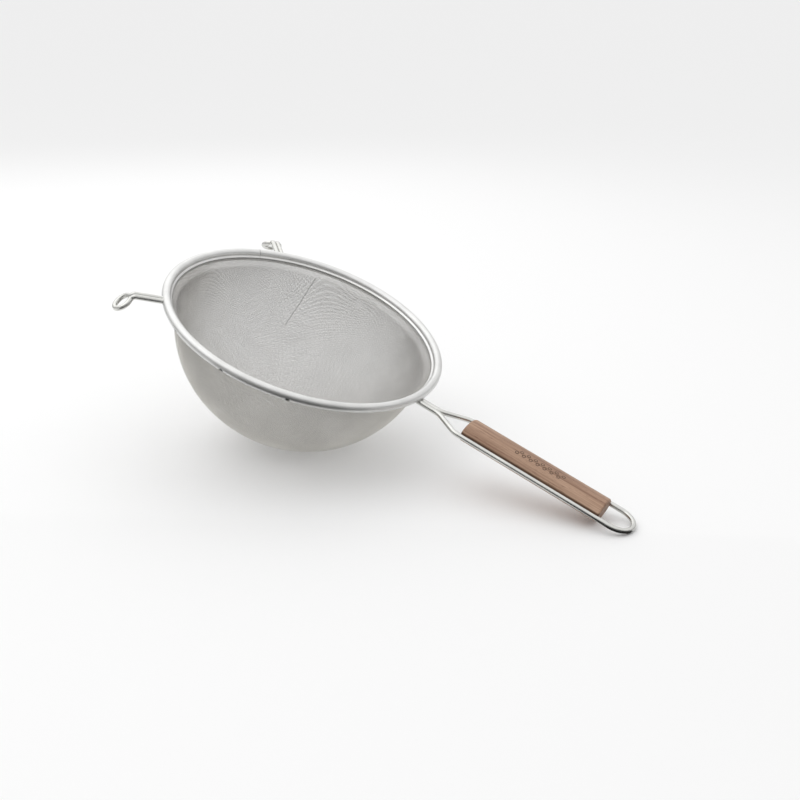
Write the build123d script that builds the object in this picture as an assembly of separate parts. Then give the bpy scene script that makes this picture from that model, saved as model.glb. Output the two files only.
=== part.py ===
from build123d import *
from math import asin, atan2, cos, degrees, radians, sin, sqrt, tan
import os

# Double sieve strainer: a round bowl of two nested woven meshes, held in a rolled
# steel rim with two rest ears and a bent-wire handle with a wooden grip.
# Every piece is first built in the rim's own frame: origin at the centre of the
# rim, +Z out of the bowl's mouth, +X along the handle. The finished pieces are
# then tilted and lifted together, so that the strainer lies on its bowl and on
# the end of its hanging loop, with +Z up. All sizes are in millimetres.

# Rim
RIM_RADIUS = 102.0
BEAD_RADIUS = 3.2
BAND_THICKNESS = 0.5
HOOP_RADIUS = 1.7
SEAM_AZIMUTH = 148.8
SEAM_GAP = 0.3
HOLE_AZIMUTHS = (60.2, 86.5, 113.0, 247.0, 273.5, 299.8)
HOLE_WIDTH = 2.0
HOLE_LENGTH = 3.2
HOLE_DROP_ANGLE = 28.0

# Bowl
BOWL_RADIUS = 94.1
BOWL_DEPTH = 90.4
BOWL_SIDE_RADIUS = 88.0
BOWL_CENTRE_Z = -1.6
OUTER_MESH_THICKNESS = 0.5
INNER_MESH_THICKNESS = 0.4
LAYER_GAP = 0.1
SKIRT_FOOT_Z = -8.0
SKIRT_BEND_RADIUS = 3.0
SKIRT_ANGLE = 40.0
SKIRT_LENGTH = 12.0
INNER_LEG_LENGTH = 1.5
OUTER_LEG_LENGTH = 3.0

# Wires
WIRE_RADIUS = 1.85
STRAND_OFFSET = 1.87
WELD_GAP = 0.02

# Handle
HANDLE_RISE = 1.7
HANDLE_DROP = 3.16
HANDLE_ROOT_X = 101.0
SPLAY_START_X = 121.3
SPLAY_ANGLE = 30.0
SPLAY_BEND_RADIUS = 12.0
HANDLE_HALF_WIDTH = 12.8
LOOP_CENTRE_X = 261.0

# Grip
GRIP_START_X = 144.5
GRIP_END_X = 252.5
GRIP_HALF_WIDTH = 12.2
GRIP_HALF_THICKNESS = 7.4
GRIP_LIFT = 0.2
GRIP_SIDE_RADIUS = 5.6
GRIP_EDGE_RADIUS = 1.6
GROOVE_CLEARANCE = 0.03

# Rest ears
EAR_AZIMUTHS = {"left_rest_ear": 226.9, "right_rest_ear": 138.6}
EAR_HEIGHT = 0.3
EAR_ROOT = 1.0
EAR_STRAIGHT = 22.5
EAR_BEND_ANGLE = 45.0
EAR_BEND_RADIUS = 3.6
EAR_NECK_RADIUS = 2.4
EAR_EYE_RADIUS = 6.4


def base_arc():
    """The radius and the centre's height of the round base, which is in line with the
    side's arc and ends at the bowl's full depth."""
    side_x = BOWL_RADIUS - BOWL_SIDE_RADIUS
    spare = BOWL_DEPTH - BOWL_SIDE_RADIUS
    radius = (BOWL_DEPTH**2 + side_x**2 - BOWL_SIDE_RADIUS**2) / (2 * spare)
    return radius, BOWL_CENTRE_Z - BOWL_DEPTH + radius


def rest_tilt():
    """The angle that brings the bowl and the end of the hanging loop onto one level."""
    base_radius, base_z = base_arc()
    run = LOOP_CENTRE_X + HANDLE_HALF_WIDTH - RIM_RADIUS
    loop_x = RIM_RADIUS + run * cos(radians(HANDLE_RISE))
    loop_z = run * sin(radians(HANDLE_RISE)) - HANDLE_DROP
    low, high = 0.0, 45.0
    for _ in range(50):
        tilt = (low + high) / 2
        bowl_reach = base_radius - base_z * cos(radians(tilt))
        loop_reach = WIRE_RADIUS + loop_x * sin(radians(tilt)) - loop_z * cos(radians(tilt))
        low, high = (tilt, high) if loop_reach < bowl_reach else (low, tilt)
    return tilt


def wall_curve(inset):
    """Half of the bowl wall's section, inset from the outermost face: the round base
    from the pole, the side, the bend, and the skirt out towards the rim."""
    side_x = BOWL_RADIUS - BOWL_SIDE_RADIUS
    base_radius, base_z = base_arc()
    join = degrees(atan2(BOWL_CENTRE_Z - base_z, side_x))
    foot = degrees(asin((SKIRT_FOOT_Z - BOWL_CENTRE_Z) / (BOWL_SIDE_RADIUS - inset)))
    base = CenterArc((0, base_z), base_radius - inset, -90, 90 + join)
    side = CenterArc((side_x, BOWL_CENTRE_Z), BOWL_SIDE_RADIUS - inset, join, foot - join)
    turn = foot + 90 - SKIRT_ANGLE
    bend = JernArc(side @ 1, side % 1, SKIRT_BEND_RADIUS + inset, -turn)
    skirt = Line(bend @ 1, bend @ 1 + bend % 1 * SKIRT_LENGTH)
    return base, side, bend, skirt


def layer_face(outer_inset, inner_inset, first="base"):
    """The section of one layer of the wall between two insets, from the part of the
    wall named first to the skirt's edge."""
    skipped = ("base", "side", "bend", "skirt").index(first)
    outer = wall_curve(outer_inset)[skipped:]
    inner = wall_curve(inner_inset)[skipped:]
    ends = [Line(outer[0] @ 0, inner[0] @ 0), Line(outer[-1] @ 1, inner[-1] @ 1)]
    return make_face([*outer, *inner, *ends])


def bead_disc(radius):
    return Pos(RIM_RADIUS, 0) * Circle(radius)


def turned(section):
    """The ring or bowl made by turning a section, drawn in X and Y, about the axis."""
    return revolve(Plane.XZ * section, Axis.Z).solid()


def mesh_bowl(outer_inset, thickness):
    """One woven layer as a plain wall. Its edge ends beside the hoop in the bead."""
    edge_x = RIM_RADIUS - HOOP_RADIUS - LAYER_GAP
    beyond = Pos(edge_x + SKIRT_LENGTH, 0) * Rectangle(2 * SKIRT_LENGTH, 4 * SKIRT_LENGTH)
    return turned(layer_face(outer_inset, outer_inset + thickness) - beyond)


def band_insets():
    """The insets of the two legs that the band holds the meshes between."""
    inner_leg = OUTER_MESH_THICKNESS + INNER_MESH_THICKNESS + 2 * LAYER_GAP
    outer_leg = -LAYER_GAP - BAND_THICKNESS
    return outer_leg, inner_leg


def band_section():
    """The rolled band: a tube round the hoop, with a short leg on each side of the
    skirt, and the slot between them that the meshes go in by."""
    outer_leg, inner_leg = band_insets()
    tube = bead_disc(BEAD_RADIUS) - bead_disc(BEAD_RADIUS - BAND_THICKNESS)
    outside = Pos(RIM_RADIUS + BEAD_RADIUS, 0) * Rectangle(2 * BEAD_RADIUS, 8 * BEAD_RADIUS)
    slot = layer_face(-LAYER_GAP, inner_leg, first="skirt") - outside
    inner = layer_face(inner_leg, inner_leg + BAND_THICKNESS, first="skirt")
    outer = layer_face(outer_leg, -LAYER_GAP, first="skirt")
    legs = inner & bead_disc(BEAD_RADIUS + INNER_LEG_LENGTH)
    legs += outer & bead_disc(BEAD_RADIUS + OUTER_LEG_LENGTH)
    legs -= bead_disc(BEAD_RADIUS - BAND_THICKNESS)
    return tube - slot + (legs - outside - slot)


def weep_hole(azimuth):
    """An oval punch through the lower outer side of the bead, long round the rim."""
    depth = 4 * BAND_THICKNESS
    punch = extrude(Ellipse(HOLE_WIDTH / 2, HOLE_LENGTH / 2), depth).solid()
    on_bead = Pos(0, 0, BEAD_RADIUS - depth / 2) * punch
    aimed = Pos(RIM_RADIUS, 0, 0) * Rot(0, 90 + HOLE_DROP_ANGLE, 0) * on_bead
    return Rot(0, 0, azimuth) * aimed


def rim_band():
    """The band is turned from one side of its butt seam to the other, then punched."""
    half_gap = degrees(SEAM_GAP / 2 / RIM_RADIUS)
    strip = revolve(Plane.XZ * band_section(), Axis.Z, 360 - 2 * half_gap).solid()
    holes = [weep_hole(azimuth) for azimuth in HOLE_AZIMUTHS]
    return Rot(0, 0, SEAM_AZIMUTH + half_gap) * strip - holes


def rim_hoop():
    return Torus(RIM_RADIUS, HOOP_RADIUS)


def bent_wire(path):
    start = Plane(origin=path @ 0, z_dir=path % 0)
    return sweep(start * Circle(WIRE_RADIUS), path)


def coped(wire):
    """A wire with its ends cut to the curve of the bead that they are welded to."""
    return wire - Torus(RIM_RADIUS, BEAD_RADIUS + WELD_GAP)


def handle_outline():
    """The handle wire's centre line in its own plane: out along the pair of strands,
    splayed to the grip, round the hanging loop and back."""
    splay_run = (HANDLE_HALF_WIDTH - STRAND_OFFSET) / tan(radians(SPLAY_ANGLE))
    splay_end_x = SPLAY_START_X + splay_run
    corners = [
        (HANDLE_ROOT_X, STRAND_OFFSET),
        (SPLAY_START_X, STRAND_OFFSET),
        (splay_end_x, HANDLE_HALF_WIDTH),
        (LOOP_CENTRE_X, HANDLE_HALF_WIDTH),
    ]
    side = FilletPolyline(*corners, radius=SPLAY_BEND_RADIUS)
    other = mirror(side, Plane.XZ)
    loop = JernArc((LOOP_CENTRE_X, HANDLE_HALF_WIDTH), (1, 0), HANDLE_HALF_WIDTH, -180)
    return Wire([*side.edges(), *loop.edges(), *other.edges()])


def handle_place():
    """The handle's plane in the rim's frame: level with X = 0 at the rim's axis."""
    hinge = Pos(RIM_RADIUS, 0, -HANDLE_DROP) * Rot(0, -HANDLE_RISE, 0)
    return hinge * Pos(-RIM_RADIUS, 0, 0)


def handle_wire():
    return coped(handle_place() * bent_wire(handle_outline()))


def grip_section():
    """A flat oval of four arcs in line with each other: crowned above and below, and
    rounder at the sides."""
    side_x = GRIP_HALF_WIDTH - GRIP_SIDE_RADIUS
    spare = GRIP_HALF_THICKNESS - GRIP_SIDE_RADIUS
    crown = (GRIP_HALF_THICKNESS**2 + side_x**2 - GRIP_SIDE_RADIUS**2) / (2 * spare)
    slope = atan2(crown - GRIP_HALF_THICKNESS, side_x)
    join_x = side_x + GRIP_SIDE_RADIUS * cos(slope)
    join_y = GRIP_SIDE_RADIUS * sin(slope)
    top = ThreePointArc((-join_x, join_y), (0, GRIP_HALF_THICKNESS), (join_x, join_y))
    right = ThreePointArc((join_x, join_y), (GRIP_HALF_WIDTH, 0), (join_x, -join_y))
    halves = [top, right, mirror(top, Plane.XZ), mirror(right, Plane.YZ)]
    return Pos(0, GRIP_LIFT) * make_face(halves)


def wood_grip():
    """The wooden grip, with a groove along each side that the wire is pressed into."""
    end = Plane(origin=(GRIP_START_X, 0, 0), x_dir=(0, 1, 0), z_dir=(1, 0, 0))
    grip = extrude(end * grip_section(), GRIP_END_X - GRIP_START_X).solid()
    grip = fillet(grip.faces().filter_by(Axis.X).edges(), GRIP_EDGE_RADIUS)
    length = 2 * (GRIP_END_X - GRIP_START_X)
    for side in (-1, 1):
        groove = Cylinder(WIRE_RADIUS + GROOVE_CLEARANCE, length, rotation=(0, 90, 0))
        grip -= Pos((GRIP_START_X + GRIP_END_X) / 2, side * HANDLE_HALF_WIDTH, 0) * groove
    return handle_place() * grip


def ear_eye():
    """The eye in its own plane, with X = 0 at the ear's bend: the neck on one side, and
    the round loop from that neck to the other."""
    start_x = EAR_BEND_RADIUS * tan(radians(EAR_BEND_ANGLE / 2))
    neck_y = STRAND_OFFSET + EAR_NECK_RADIUS
    eye_run = sqrt((EAR_EYE_RADIUS + EAR_NECK_RADIUS) ** 2 - neck_y**2)
    slope = degrees(atan2(neck_y, eye_run))
    neck = CenterArc((start_x, neck_y), EAR_NECK_RADIUS, -90, 90 - slope)
    eye = CenterArc((start_x + eye_run, 0), EAR_EYE_RADIUS, 180 - slope, 2 * slope - 360)
    return neck, eye


def rest_ear(azimuth):
    """One ear: a doubled wire that leaves the rim, bends down and opens into an eye."""
    bend_x = RIM_RADIUS + EAR_STRAIGHT
    run_in = EAR_BEND_RADIUS * tan(radians(EAR_BEND_ANGLE / 2))
    tilted = Pos(bend_x, 0, EAR_HEIGHT) * Rot(0, EAR_BEND_ANGLE, 0)
    neck, eye = ear_eye()
    straight = Line(
        (RIM_RADIUS + EAR_ROOT, STRAND_OFFSET, EAR_HEIGHT),
        (bend_x - run_in, STRAND_OFFSET, EAR_HEIGHT),
    )
    bend = TangentArc(straight @ 1, (tilted * neck) @ 0, tangent=(1, 0, 0))
    side = [straight, bend, tilted * neck]
    other = [mirror(edge, Plane.XZ) for edge in reversed(side)]
    path = Wire([edge.edge() for edge in [*side, tilted * eye, *other]], sequenced=True)
    return Rot(0, 0, azimuth) * coped(bent_wire(path))


def build():
    """Every piece in the rim's frame, by the name of its node."""
    inner_start = OUTER_MESH_THICKNESS + LAYER_GAP
    pieces = {
        "outer_support_mesh": mesh_bowl(0, OUTER_MESH_THICKNESS),
        "inner_fine_mesh": mesh_bowl(inner_start, INNER_MESH_THICKNESS),
        "rim_band": rim_band(),
        "rim_hoop": rim_hoop(),
        "handle_wire": handle_wire(),
        "wood_grip": wood_grip(),
    }
    for name, azimuth in EAR_AZIMUTHS.items():
        pieces[name] = rest_ear(azimuth)
    return pieces


def main():
    tilted = {name: Rot(0, rest_tilt(), 0) * piece for name, piece in build().items()}
    boxes = [piece.bounding_box() for piece in tilted.values()]
    middle_x = (min(box.min.X for box in boxes) + max(box.max.X for box in boxes)) / 2
    middle_y = (min(box.min.Y for box in boxes) + max(box.max.Y for box in boxes)) / 2
    lift = Pos(-middle_x, -middle_y, -min(box.min.Z for box in boxes))
    os.makedirs("parts", exist_ok=True)
    for name, piece in tilted.items():
        export_step(lift * piece, f"parts/{name}.step")
    print("tilt", rest_tilt(), "moved by", lift.position)


main()
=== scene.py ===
import math

import bpy
import numpy as np
from mathutils import Matrix, Vector


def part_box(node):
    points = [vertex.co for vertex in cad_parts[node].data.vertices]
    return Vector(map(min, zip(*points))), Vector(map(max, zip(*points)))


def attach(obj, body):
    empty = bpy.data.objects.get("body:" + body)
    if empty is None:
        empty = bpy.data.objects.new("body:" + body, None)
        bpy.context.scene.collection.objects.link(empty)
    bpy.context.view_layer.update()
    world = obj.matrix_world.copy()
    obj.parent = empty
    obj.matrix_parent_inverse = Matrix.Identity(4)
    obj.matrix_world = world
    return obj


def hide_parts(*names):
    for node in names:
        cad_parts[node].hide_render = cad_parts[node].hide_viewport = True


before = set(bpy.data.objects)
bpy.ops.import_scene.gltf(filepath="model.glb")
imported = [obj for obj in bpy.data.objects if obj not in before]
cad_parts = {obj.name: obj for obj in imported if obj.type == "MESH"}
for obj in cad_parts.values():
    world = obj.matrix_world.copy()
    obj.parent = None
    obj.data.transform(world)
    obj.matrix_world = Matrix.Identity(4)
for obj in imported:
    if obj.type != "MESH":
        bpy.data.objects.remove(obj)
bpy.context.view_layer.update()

# The rim's own frame, in metres: origin at the centre of the rim, +Z out of the
# bowl's mouth, +X along the handle. World coordinates are that frame tipped and moved.
TILT = math.radians(19.69820534159284)
SHIFT = np.array([-0.0787909, 0.0, 0.0922898])
TIP = np.array([
    [math.cos(TILT), 0.0, math.sin(TILT)],
    [0.0, 1.0, 0.0],
    [-math.sin(TILT), 0.0, math.cos(TILT)],
])

RIM_RADIUS = 0.102
HOOP_RADIUS = 0.0017
LAYER_GAP = 0.0001
OUTER_THICKNESS = 0.0005
INNER_THICKNESS = 0.0004

# The bowl's outermost face: a round base, a side, a tight bend and the skirt.
BOWL_RADIUS = 0.0941
SIDE_RADIUS = 0.088
SIDE_X = BOWL_RADIUS - SIDE_RADIUS
SIDE_Z = -0.0016
BOWL_DEPTH = 0.0904
BASE_RADIUS = (BOWL_DEPTH**2 + SIDE_X**2 - SIDE_RADIUS**2) / (2 * (BOWL_DEPTH - SIDE_RADIUS))
BASE_Z = SIDE_Z - BOWL_DEPTH + BASE_RADIUS
SKIRT_FOOT_Z = -0.008
SKIRT_BEND = 0.003
SKIRT_ANGLE = math.radians(40)

# The wall's line: points along each stretch before they are evened out, the even
# spacing, and the distance over which its slope is taken.
BASE_POINTS, SIDE_POINTS, BEND_POINTS, SKIRT_POINTS = 400, 600, 80, 60
LINE_STEP = 0.0004
SLOPE_STEP = 0.0003
TINY = 1e-12

# The two weaves: wire spacing and wire radius.
FINE_PITCH, FINE_WIRE = 0.00085, 0.0001
SUPPORT_PITCH, SUPPORT_WIRE = 0.0011, 0.000125

# How the wires are laid. SPACING_SPREAD is the unevenness of the spacing, in pitches.
# CRIMP is a wire's swing to each side of the wall's line, in wire radii. A three-sided
# wire of RING_RADIUS wire radii, lowered by RING_DROP, is as wide as the round one and
# has its height centred.
SPACING_SPREAD = 0.002
CRIMP = 0.92
RING_RADIUS, RING_DROP = 1.155, 0.29
RING_CORNERS = (math.pi / 2, math.pi * 7 / 6, math.pi * 11 / 6)

# The ball that the flat net is draped over, and the spacing of its crossings. Wires are
# laid to WIRE_REACH times the wall's length and then cut at the rim; the net goes
# NET_SPARE further.
DRAPE_RADIUS = 0.0915
DRAPE_STEP = 0.0015
WIRE_REACH = 1.02
NET_SPARE = 0.02

# The handle's plane meets the rim below its centre line and rises outwards.
HANDLE_RISE = math.radians(1.7)
HANDLE_DROP = 0.00316

# The grip: its middle along the handle, its oval section, and its height above the
# handle's plane.
GRIP_MIDDLE_X = 0.1985
GRIP_HALF_WIDTH = 0.0122
GRIP_HALF_THICKNESS = 0.0074
GRIP_SIDE_RADIUS = 0.0056
GRIP_LIFT = 0.0002

# The burned row: each cell's size and line, their spacing along and across the grip,
# and how far the row stands off the crown.
CELL_COUNT = 14
CELL_SIDE, CELL_LINE = 0.0015, 0.0005
CELL_START, CELL_STEP = -0.0145, 0.0027
CELL_ZIGZAG, CELL_OFFSET = 0.0013, 0.003
CELL_CLEARANCE = 0.00004

# Where the grip's colour changes, as distances from its middle. The painted shade in the
# grooves beside the wires fades out over the first two ranges, and painted shade darkens
# the ends over the third.
GROOVE_SHADE_HALF_HEIGHT = (0.0022, 0.0031)
GROOVE_SHADE_HALF_WIDTH = (0.0108, 0.0098)
END_SHADE_HALF_LENGTH = (0.0528, 0.0538)

# The loose strand: marks in the rim's frame from below the rim down the bowl's side,
# and how it sways (in azimuth) and stands off the wall on the way. Each PHASE is in
# radians from one mark to the next.
STRAND_MARKS = np.array([
    (-0.0467, 0.0806, -0.0070), (-0.0486, 0.0777, -0.0186), (-0.0495, 0.0733, -0.0303),
    (-0.0502, 0.0686, -0.0390), (-0.0502, 0.0620, -0.0486),
])
STRAND_RADIUS = 0.00012
STRAND_POINTS = 90
STRAND_SIDES = 8
STRAND_SWAY, STRAND_SWAY_PHASE = 0.002, 9
STRAND_LIFT, STRAND_LIFT_CHANGE, STRAND_LIFT_PHASE = 0.00022, 0.00005, 23


def to_world(points):
    return points @ TIP.T + SHIFT


def add_object(name, data):
    made = bpy.data.objects.new(name, data)
    bpy.context.scene.collection.objects.link(made)
    return made


def profile(inset):
    """A line in the wall from the pole to the rim, inset from the outermost face. Gives
    evenly spaced distances along it, and the radius and height at each."""
    join = math.atan2(SIDE_Z - BASE_Z, SIDE_X)
    side_radius = SIDE_RADIUS - inset
    foot = math.asin((SKIRT_FOOT_Z - SIDE_Z) / side_radius)
    base = np.linspace(-math.pi / 2, join, BASE_POINTS)
    side = np.linspace(join, foot, SIDE_POINTS)
    points = [
        np.c_[(BASE_RADIUS - inset) * np.cos(base), BASE_Z + (BASE_RADIUS - inset) * np.sin(base)],
        np.c_[SIDE_X + side_radius * np.cos(side), SIDE_Z + side_radius * np.sin(side)],
    ]
    bend_radius = SKIRT_BEND + inset
    heading = foot + math.pi / 2
    centre = points[1][-1] + bend_radius * np.array([math.cos(foot), math.sin(foot)])
    turn = np.linspace(0, heading - SKIRT_ANGLE, BEND_POINTS)
    points.append(centre - bend_radius * np.c_[np.cos(foot - turn), np.sin(foot - turn)])
    edge = RIM_RADIUS - HOOP_RADIUS - LAYER_GAP
    start = points[2][-1]
    run = (edge - start[0]) / math.cos(SKIRT_ANGLE)
    along = np.linspace(0, run, SKIRT_POINTS)[:, None]
    points.append(start + along * np.array([math.cos(SKIRT_ANGLE), math.sin(SKIRT_ANGLE)]))
    line = np.vstack([points[0]] + [p[1:] for p in points[1:]])
    length = np.r_[0, np.cumsum(np.hypot(*np.diff(line, axis=0).T))]
    even = np.linspace(0, length[-1], int(length[-1] / LINE_STEP))
    return even, np.c_[np.interp(even, length, line[:, 0]), np.interp(even, length, line[:, 1])]


class Wall:
    """The surface that profile() sweeps round the axis. A place on it is s, the
    distance from the pole along the wall, and an azimuth."""

    def __init__(self, inset):
        self.s, self.line = profile(inset)
        self.end = self.s[-1]

    def at(self, s, azimuth):
        radius = np.interp(s, self.s, self.line[:, 0])
        height = np.interp(s, self.s, self.line[:, 1])
        return np.stack([radius * np.cos(azimuth), radius * np.sin(azimuth), height], -1)

    def normal(self, s, azimuth):
        ahead, behind = s + SLOPE_STEP, s - SLOPE_STEP
        radius, height = self.line[:, 0], self.line[:, 1]
        dr = np.interp(ahead, self.s, radius) - np.interp(behind, self.s, radius)
        dz = np.interp(ahead, self.s, height) - np.interp(behind, self.s, height)
        size = np.hypot(dr, dz) + TINY
        return np.stack([dz / size * np.cos(azimuth), dz / size * np.sin(azimuth), -dr / size], -1)


def draped_net(reach):
    """One quarter of a cloth net pressed over a ball: wires keep their spacing and the
    openings shear. Gives each crossing's direction from the ball's centre."""
    count = int(reach / DRAPE_STEP) + 1
    net = np.zeros((count, count, 3))
    for i in range(count):
        a = i * DRAPE_STEP / DRAPE_RADIUS
        net[i, 0] = (math.sin(a), 0, -math.cos(a))
        net[0, i] = (0, math.sin(a), -math.cos(a))
    for i in range(1, count):
        for j in range(1, count):
            # the crossing opposite the last one lies mirrored in the plane of the other two
            mirror = np.cross(net[i - 1, j], net[i, j - 1])
            mirror /= np.linalg.norm(mirror) + TINY
            last = net[i - 1, j - 1]
            net[i, j] = last - 2 * (last @ mirror) * mirror
    return net


def cloth_map(reach):
    """One quarter of the draped net, as distance from the pole and azimuth."""
    quarter = draped_net(reach)
    polar = np.arccos(np.clip(-quarter[..., 2], -1, 1))
    azimuth = np.arctan2(quarter[..., 1], quarter[..., 0])
    return polar * DRAPE_RADIUS, azimuth


def woven(name, inset, pitch, wire, turn, seed):
    """Plain woven wire pressed into the bowl: each wire passes over one and under the
    next, and runs up under the rim."""
    wall = Wall(inset)
    reach = wall.end * WIRE_REACH
    dist, azim = cloth_map(reach + NET_SPARE)
    count = dist.shape[0]
    flat_x = np.cos(azim) * dist
    flat_y = np.sin(azim) * dist
    rng = np.random.default_rng(seed)

    def place(u, v):
        """Cloth coordinates to distance and azimuth on the wall."""
        i = np.clip(np.abs(u) / DRAPE_STEP, 0, count - 1.001)
        j = np.clip(np.abs(v) / DRAPE_STEP, 0, count - 1.001)
        i0, j0 = i.astype(int), j.astype(int)
        fi, fj = i - i0, j - j0

        def mix(grid):
            low = grid[i0, j0] * (1 - fi) + grid[i0 + 1, j0] * fi
            high = grid[i0, j0 + 1] * (1 - fi) + grid[i0 + 1, j0 + 1] * fi
            return low * (1 - fj) + high * fj

        x = mix(flat_x) * np.sign(u)
        y = mix(flat_y) * np.sign(v)
        return np.hypot(x, y), np.arctan2(y, x) + turn

    half = int(reach / pitch) + 2
    lines = (np.arange(-half, half) + 0.5) * pitch
    verts, faces, base = [], [], 0
    for family in (0, 1):
        for index, fixed in enumerate(lines):
            # a little unevenness in the spacing, as real cloth has
            fixed = fixed + rng.normal(0, SPACING_SPREAD) * pitch
            u = np.full(len(lines), fixed)
            v = lines
            s, azimuth = place(u, v) if family == 0 else place(v, u)
            inside = s < wall.end
            middle = len(lines) // 2
            if not inside[middle]:
                continue
            first = middle - int(np.argmin(inside[middle::-1])) + 1
            last = middle + int(np.argmin(inside[middle:])) - 1
            keep = slice(first, last + 1)
            s, azimuth = s[keep], azimuth[keep]
            over = np.where((np.arange(first, last + 1) + index + family) % 2 == 0, 1.0, -1.0)
            centre = wall.at(s, azimuth)
            out = wall.normal(s, azimuth)
            centre = centre + out * (over * wire * CRIMP)[:, None]
            along = np.gradient(centre, axis=0)
            along /= np.linalg.norm(along, axis=1)[:, None] + TINY
            side = np.cross(along, out)
            side /= np.linalg.norm(side, axis=1)[:, None] + TINY
            up = np.cross(side, along)
            middle_line = centre - up * (wire * RING_DROP)
            ring = [middle_line + wire * RING_RADIUS * (math.cos(a) * side + math.sin(a) * up)
                    for a in RING_CORNERS]
            ring = np.stack(ring, 1).reshape(-1, 3)
            verts.append(ring)
            n = len(centre)
            k = np.arange(n - 1) * 3 + base
            for a, b in ((0, 1), (1, 2), (2, 0)):
                faces.append(np.c_[k + b, k + a, k + 3 + a, k + 3 + b])
            base += 3 * n
    verts = to_world(np.vstack(verts))
    faces = np.vstack(faces)
    mesh = bpy.data.meshes.new(name)
    mesh.vertices.add(len(verts))
    mesh.vertices.foreach_set("co", verts.astype(np.float32).ravel())
    mesh.loops.add(faces.size)
    mesh.loops.foreach_set("vertex_index", faces.astype(np.int32).ravel())
    mesh.polygons.add(len(faces))
    mesh.polygons.foreach_set("loop_start", np.arange(len(faces), dtype=np.int32) * 4)
    mesh.update(calc_edges=True)
    mesh.validate()
    mesh.shade_smooth()
    return add_object(name, mesh)


def new_material(name):
    material = bpy.data.materials.new(name)
    material.use_nodes = True
    tree = material.node_tree
    return material, tree, tree.nodes["Principled BSDF"]


def node(tree, kind, **values):
    made = tree.nodes.new(kind)
    for key, value in values.items():
        setattr(made, key, value)
    return made


def ramp(tree, stops):
    made = tree.nodes.new("ShaderNodeValToRGB")
    elements = made.color_ramp.elements
    for element, (position, colour) in zip(elements, stops[:2]):
        element.position = position
        element.color = (*colour, 1)
    for position, colour in stops[2:]:
        element = elements.new(position)
        element.color = (*colour, 1)
    return made


def rim_coordinates(tree):
    """Object coordinates turned back into the rim's own frame, in metres."""
    texture = node(tree, "ShaderNodeTexCoord")
    lifted = node(tree, "ShaderNodeVectorMath", operation="SUBTRACT")
    lifted.inputs[1].default_value = tuple(SHIFT)
    turned = node(tree, "ShaderNodeVectorRotate", rotation_type="Y_AXIS")
    turned.inputs["Angle"].default_value = -TILT
    tree.links.new(texture.outputs["Object"], lifted.inputs[0])
    tree.links.new(lifted.outputs[0], turned.inputs["Vector"])
    return turned.outputs[0]


def mottled(tree, shader, scale, detail, light, dark):
    """Gives the shader a slow change between two colours. Returns its coordinates."""
    coordinates = rim_coordinates(tree)
    mottle = node(tree, "ShaderNodeTexNoise")
    mottle.inputs["Scale"].default_value = scale
    mottle.inputs["Detail"].default_value = detail
    colour = ramp(tree, [(0.3, dark), (0.7, light)])
    tree.links.new(coordinates, mottle.inputs["Vector"])
    tree.links.new(mottle.outputs["Fac"], colour.inputs["Fac"])
    tree.links.new(colour.outputs["Color"], shader.inputs["Base Color"])
    return coordinates


def steel(name, light, dark, rough, grain, bump):
    """Steel with slow mottling, a fine grain and a slightly uneven gloss."""
    material, tree, shader = new_material(name)
    shader.inputs["Metallic"].default_value = 1.0
    coordinates = mottled(tree, shader, 60, 5, light, dark)
    fine = node(tree, "ShaderNodeTexNoise")
    fine.inputs["Scale"].default_value = grain
    fine.inputs["Detail"].default_value = 4
    tree.links.new(coordinates, fine.inputs["Vector"])
    gloss = node(tree, "ShaderNodeMapRange")
    gloss.inputs["To Min"].default_value = rough * 0.75
    gloss.inputs["To Max"].default_value = rough * 1.3
    tree.links.new(fine.outputs["Fac"], gloss.inputs["Value"])
    tree.links.new(gloss.outputs[0], shader.inputs["Roughness"])
    relief = node(tree, "ShaderNodeBump")
    relief.inputs["Distance"].default_value = bump
    relief.inputs["Strength"].default_value = 0.5
    tree.links.new(fine.outputs["Fac"], relief.inputs["Height"])
    tree.links.new(relief.outputs[0], shader.inputs["Normal"])
    return material


def weave_steel(name, light, dark):
    """Bright woven wire with a faint tarnish in patches."""
    material, tree, shader = new_material(name)
    shader.inputs["Metallic"].default_value = 0.3
    shader.inputs["Roughness"].default_value = 0.65
    mottled(tree, shader, 45, 6, light, dark)
    return material


# The grip's own frame: along the handle and out of its top, its middle, and the point
# of the handle's plane at that middle.
HANDLE_SLOPE = TILT - HANDLE_RISE
GRIP_X = np.array([math.cos(HANDLE_SLOPE), 0.0, -math.sin(HANDLE_SLOPE)])
GRIP_Z = np.array([math.sin(HANDLE_SLOPE), 0.0, math.cos(HANDLE_SLOPE)])
grip_low, grip_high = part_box("wood_grip")
GRIP_CENTRE = np.array(((grip_low + grip_high) / 2)[:])
middle_run = GRIP_MIDDLE_X - RIM_RADIUS
HANDLE_MIDDLE = to_world(np.array([
    RIM_RADIUS + middle_run * math.cos(HANDLE_RISE),
    0.0,
    middle_run * math.sin(HANDLE_RISE) - HANDLE_DROP,
]))


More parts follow.
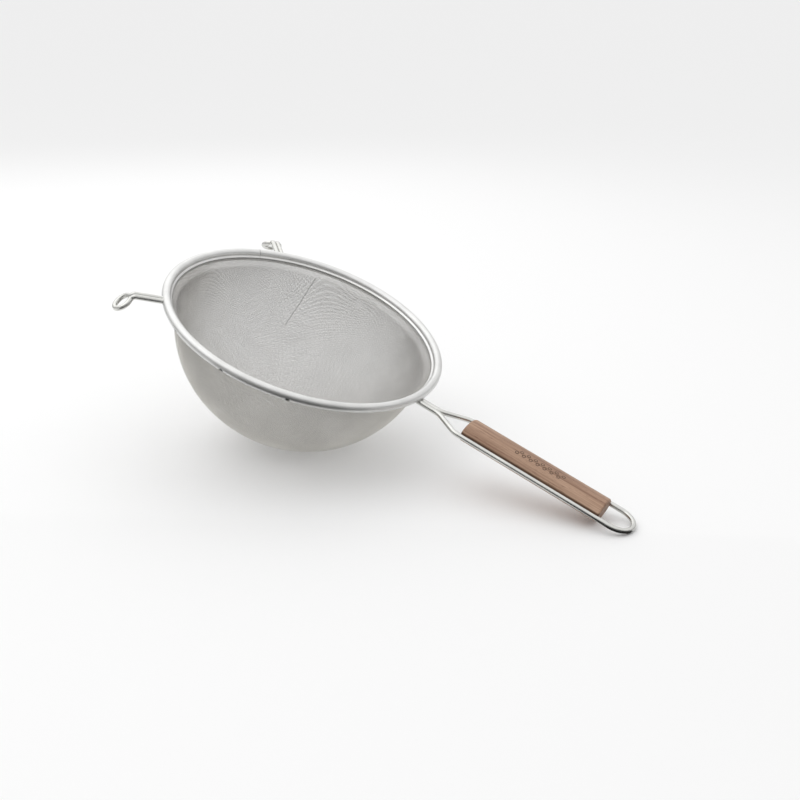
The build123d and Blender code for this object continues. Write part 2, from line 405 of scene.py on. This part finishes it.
def wood():
    """Oiled hardwood: long fibres, slow bands and open pores, with painted shade in the
    grooves beside the wires and on the ends."""
    material, tree, shader = new_material("grip_wood")
    shader.inputs["Specular IOR Level"].default_value = 0.35
    texture = node(tree, "ShaderNodeTexCoord")
    centred = node(tree, "ShaderNodeVectorMath", operation="SUBTRACT")
    centred.inputs[1].default_value = tuple(GRIP_CENTRE)
    level = node(tree, "ShaderNodeVectorRotate", rotation_type="Y_AXIS")
    level.inputs["Angle"].default_value = -HANDLE_SLOPE
    tree.links.new(texture.outputs["Object"], centred.inputs[0])
    tree.links.new(centred.outputs[0], level.inputs["Vector"])
    place = level.outputs[0]

    def stretched(scale, detail, along):
        mapped = node(tree, "ShaderNodeVectorMath", operation="MULTIPLY")
        mapped.inputs[1].default_value = (along, 1, 1)
        noise = node(tree, "ShaderNodeTexNoise")
        noise.inputs["Scale"].default_value = scale
        noise.inputs["Detail"].default_value = detail
        tree.links.new(place, mapped.inputs[0])
        tree.links.new(mapped.outputs[0], noise.inputs["Vector"])
        return noise.outputs["Fac"]

    bands = stretched(260, 3, 0.035)
    fibres = stretched(1500, 5, 0.02)
    pores = stretched(2600, 2, 0.06)
    base = ramp(tree, [(0.32, (0.285, 0.160, 0.102)), (0.68, (0.545, 0.362, 0.255))])
    tree.links.new(bands, base.inputs["Fac"])
    fine = ramp(tree, [(0.35, (0.74, 0.70, 0.66)), (0.62, (1.0, 1.0, 1.0))])
    tree.links.new(fibres, fine.inputs["Fac"])
    pore = ramp(tree, [(0.30, (0.45, 0.38, 0.33)), (0.40, (1.0, 1.0, 1.0))])
    tree.links.new(pores, pore.inputs["Fac"])

    def times(a, b):
        mix = node(tree, "ShaderNodeMix", data_type="RGBA", blend_type="MULTIPLY")
        mix.inputs["Factor"].default_value = 1.0
        tree.links.new(a, mix.inputs[6])
        tree.links.new(b, mix.inputs[7])
        return mix.outputs[2]

    grained = times(base.outputs["Color"], fine.outputs["Color"])
    grained = times(grained, pore.outputs["Color"])
    split = node(tree, "ShaderNodeSeparateXYZ")
    tree.links.new(place, split.inputs[0])

    def clear_of(axis, start, end):
        """Rises from 0 to 1 as the distance from the middle goes from start to end."""
        away = node(tree, "ShaderNodeMath", operation="ABSOLUTE")
        reach = node(tree, "ShaderNodeMapRange")
        reach.inputs["From Min"].default_value = start
        reach.inputs["From Max"].default_value = end
        tree.links.new(split.outputs[axis], away.inputs[0])
        tree.links.new(away.outputs[0], reach.inputs["Value"])
        return reach.outputs[0]

    # painted shade along the grooves, beside the wires
    beside = node(tree, "ShaderNodeMath", operation="MAXIMUM")
    tree.links.new(clear_of("Z", *GROOVE_SHADE_HALF_HEIGHT), beside.inputs[0])
    tree.links.new(clear_of("Y", *GROOVE_SHADE_HALF_WIDTH), beside.inputs[1])
    groove_shade = ramp(tree, [(0.0, (0.28, 0.23, 0.19)), (1.0, (1.0, 1.0, 1.0))])
    tree.links.new(beside.outputs[0], groove_shade.inputs["Fac"])
    grained = times(grained, groove_shade.outputs["Color"])
    # painted shade on the ends of the grip
    end_shade = ramp(tree, [(0.0, (1.0, 1.0, 1.0)), (1.0, (0.80, 0.76, 0.73))])
    tree.links.new(clear_of("X", *END_SHADE_HALF_LENGTH), end_shade.inputs["Fac"])
    grained = times(grained, end_shade.outputs["Color"])
    tree.links.new(grained, shader.inputs["Base Color"])
    gloss = node(tree, "ShaderNodeMapRange")
    gloss.inputs["To Min"].default_value = 0.62
    gloss.inputs["To Max"].default_value = 0.42
    tree.links.new(fibres, gloss.inputs["Value"])
    tree.links.new(gloss.outputs[0], shader.inputs["Roughness"])
    relief = node(tree, "ShaderNodeBump")
    relief.inputs["Distance"].default_value = 0.00012
    relief.inputs["Strength"].default_value = 0.6
    tree.links.new(pores, relief.inputs["Height"])
    tree.links.new(relief.outputs[0], shader.inputs["Normal"])
    return material


rim_steel = steel("rim_steel", (0.78, 0.78, 0.77), (0.68, 0.68, 0.67), 0.44, 900, 0.00003)
hoop_steel = steel("hoop_steel", (0.10, 0.10, 0.10), (0.05, 0.05, 0.05), 0.5, 900, 0.00003)
wire_steel = steel("wire_steel", (0.72, 0.72, 0.69), (0.58, 0.58, 0.56), 0.24, 1400, 0.00002)
fine_mesh = weave_steel("fine_mesh", (0.68, 0.67, 0.655), (0.61, 0.60, 0.585))
support_mesh = weave_steel("support_mesh", (0.90, 0.885, 0.845), (0.81, 0.795, 0.755))
grip_wood = wood()

looks = {
    "rim_band": rim_steel,
    "rim_hoop": hoop_steel,
    "handle_wire": wire_steel,
    "left_rest_ear": wire_steel,
    "right_rest_ear": wire_steel,
    "wood_grip": grip_wood,
}
for name, material in looks.items():
    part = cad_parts[name]
    if not part.material_slots:
        part.data.materials.append(material)
    for slot in part.material_slots:
        slot.material = material


def burned_cells():
    """A row of small six-sided rings, burned onto the crown of the grip."""
    verts, faces = [], []
    side_y, spare = GRIP_HALF_WIDTH - GRIP_SIDE_RADIUS, GRIP_HALF_THICKNESS - GRIP_SIDE_RADIUS
    crown_radius = (GRIP_HALF_THICKNESS**2 + side_y**2 - GRIP_SIDE_RADIUS**2) / (2 * spare)
    top = GRIP_HALF_THICKNESS + GRIP_LIFT
    for index in range(CELL_COUNT):
        across = (CELL_ZIGZAG if index % 2 else -CELL_ZIGZAG) - CELL_OFFSET
        along = CELL_START + index * CELL_STEP
        base = len(verts)
        for radius in (CELL_SIDE, CELL_SIDE - CELL_LINE):
            for corner in range(6):
                a = math.pi / 3 * corner
                x = along + radius * math.cos(a)
                y = across + radius * math.sin(a)
                z = top - y * y / (2 * crown_radius) + CELL_CLEARANCE
                verts.append(HANDLE_MIDDLE + GRIP_X * x + np.array([0.0, y, 0.0]) + GRIP_Z * z)
        for corner in range(6):
            after = (corner + 1) % 6
            faces.append((base + corner, base + after, base + 6 + after, base + 6 + corner))
    mesh = bpy.data.meshes.new("burned_cells")
    mesh.from_pydata([tuple(v) for v in verts], [], faces)
    return add_object("burned_cells", mesh)


char, char_tree, char_shader = new_material("char")
char_shader.inputs["Roughness"].default_value = 0.85
char_noise = node(char_tree, "ShaderNodeTexNoise")
char_noise.inputs["Scale"].default_value = 1800
char_colour = ramp(char_tree, [(0.35, (0.035, 0.020, 0.014)), (0.65, (0.10, 0.062, 0.042))])
char_place = node(char_tree, "ShaderNodeTexCoord")
char_tree.links.new(char_place.outputs["Object"], char_noise.inputs["Vector"])
char_tree.links.new(char_noise.outputs["Fac"], char_colour.inputs["Fac"])
char_tree.links.new(char_colour.outputs["Color"], char_shader.inputs["Base Color"])
mark = burned_cells()
mark.data.materials.append(char)
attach(mark, "root")

layers = (
    ("support_weave", "outer_support_mesh", OUTER_THICKNESS / 2, SUPPORT_PITCH, SUPPORT_WIRE,
     math.radians(52), support_mesh, "support_mesh", 5),
    ("fine_weave", "inner_fine_mesh", OUTER_THICKNESS + LAYER_GAP + INNER_THICKNESS / 2,
     FINE_PITCH, FINE_WIRE, math.radians(14), fine_mesh, "fine_mesh", 8),
)
for name, cad, inset, pitch, wire, turn, material, slot, seed in layers:
    layer = woven(name, inset, pitch, wire, turn, seed)
    layer.data.materials.append(material)
    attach(layer, "root")
    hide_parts(cad)


def strand():
    """One loose wire lying on the inner mesh at the far side, below the rim."""
    wall = Wall(OUTER_THICKNESS + LAYER_GAP + INNER_THICKNESS)
    marks_s = np.interp(-STRAND_MARKS[:, 2], -wall.line[::-1, 1], wall.s[::-1])
    marks_a = np.arctan2(STRAND_MARKS[:, 1], STRAND_MARKS[:, 0])
    order = np.arange(len(STRAND_MARKS))
    t = np.linspace(0, order[-1], STRAND_POINTS)
    s = np.interp(t, order, marks_s)
    sway = STRAND_SWAY * np.sin(t * STRAND_SWAY_PHASE)
    azimuth = np.interp(t, order, marks_a) + sway
    out = wall.normal(s, azimuth)
    lift = STRAND_LIFT + STRAND_LIFT_CHANGE * np.sin(t * STRAND_LIFT_PHASE)
    centre = wall.at(s, azimuth) - out * lift[:, None]
    along = np.gradient(centre, axis=0)
    along /= np.linalg.norm(along, axis=1)[:, None]
    side = np.cross(along, out)
    side /= np.linalg.norm(side, axis=1)[:, None]
    up = np.cross(side, along)
    ring = [centre + STRAND_RADIUS * (math.cos(a) * side + math.sin(a) * up)
            for a in np.arange(STRAND_SIDES) * 2 * math.pi / STRAND_SIDES]
    verts = to_world(np.stack(ring, 1).reshape(-1, 3))
    faces = []
    for first in range(0, STRAND_SIDES * (STRAND_POINTS - 1), STRAND_SIDES):
        after = first + STRAND_SIDES
        for a in range(STRAND_SIDES):
            b = (a + 1) % STRAND_SIDES
            faces.append((first + a, first + b, after + b, after + a))
    faces.append(tuple(reversed(range(STRAND_SIDES))))
    faces.append(tuple(range(STRAND_SIDES * (STRAND_POINTS - 1), STRAND_SIDES * STRAND_POINTS)))
    mesh = bpy.data.meshes.new("loose_strand")
    mesh.from_pydata([tuple(v) for v in verts], [], faces)
    mesh.shade_smooth()
    return add_object("loose_strand", mesh)


dark_wire = steel("dark_wire", (0.16, 0.15, 0.14), (0.07, 0.07, 0.06), 0.5, 1400, 0.00002)
loose = strand()
loose.data.materials.append(dark_wire)
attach(loose, "root")


def plane(name, width, depth, matrix, material):
    mesh = bpy.data.meshes.new(name)
    corners = [(-width, -depth, 0), (width, -depth, 0), (width, depth, 0), (-width, depth, 0)]
    mesh.from_pydata(corners, [], [(0, 1, 2, 3)])
    mesh.materials.append(material)
    made = add_object(name, mesh)
    made.matrix_world = matrix
    return made


floor_paint, _, floor_shader = new_material("floor_paint")
floor_shader.inputs["Base Color"].default_value = (0.93, 0.93, 0.93, 1)
floor_shader.inputs["Roughness"].default_value = 0.9
floor = plane("floor", 40, 40, Matrix.Translation((0, 0, -0.0002)), floor_paint)

camera_data = bpy.data.cameras.new("camera")
camera_data.lens = 50.117
camera_data.sensor_width = 36
camera_data.clip_start = 0.01
camera_data.clip_end = 100
camera = add_object("camera", camera_data)
right = Vector((0.86286196, 0.50432309, 0.03357757))
up = Vector((-0.21224626, 0.30124471, 0.92962527))
back = Vector((0.45871643, -0.809265, 0.36697329))
turned = Matrix((right, up, back)).transposed().to_4x4()
camera.matrix_world = Matrix.Translation((0.36414242, -0.63865191, 0.34086536)) @ turned
bpy.context.scene.camera = camera


def lamp(name, place, target, width, height, watts):
    data = bpy.data.lights.new(name, "AREA")
    data.shape = "RECTANGLE"
    data.size, data.size_y = width, height
    data.energy = watts
    made = add_object(name, data)
    made.location = place
    made.rotation_mode = "QUATERNION"
    aim = Vector(target) - Vector(place)
    made.rotation_quaternion = aim.to_track_quat("-Z", "Y")


lamp("key", (-0.5, -0.45, 1.1), (-0.03, 0, 0.05), 1.1, 1.1, 2.0)
lamp("fill", (-0.7, 0.5, 0.8), (0, 0, 0.05), 1.1, 1.1, 1.5)

# A dark card on the floor in front, which only reflections see.
card_paint, _, card_shader = new_material("card_paint")
card_shader.inputs["Base Color"].default_value = (0.01, 0.01, 0.01, 1)
card_shader.inputs["Roughness"].default_value = 1.0
across_view = Matrix.Rotation(math.atan2(0.504, 0.863), 4, "Z")  # the camera's turn
card_place = Matrix.Translation((0.13, -0.38, 0.0002)) @ across_view
card = plane("card", 0.34, 0.3, card_place, card_paint)
card.visible_camera = False
card.visible_diffuse = False
card.visible_shadow = False

# The surround is white overhead and behind, and dark low down on the camera's side.
world = bpy.data.worlds.new("studio")
world.use_nodes = True
sky = world.node_tree
direction = node(sky, "ShaderNodeTexCoord")
height = node(sky, "ShaderNodeVectorMath", operation="DOT_PRODUCT")
height.inputs[1].default_value = (-0.11, 0.20, 1.0)
shade = ramp(sky, [(0.0, (0.10, 0.10, 0.10)), (0.14, (0.16, 0.16, 0.16)),
                   (0.34, (0.85, 0.85, 0.85)), (1.0, (1.1, 1.1, 1.1))])
sky.links.new(direction.outputs["Generated"], height.inputs[0])
sky.links.new(height.outputs["Value"], shade.inputs["Fac"])
sky.links.new(shade.outputs["Color"], sky.nodes["Background"].inputs["Color"])
sky.nodes["Background"].inputs["Strength"].default_value = 1.0
bpy.context.scene.world = world
bpy.context.scene.view_settings.view_transform = "Standard"
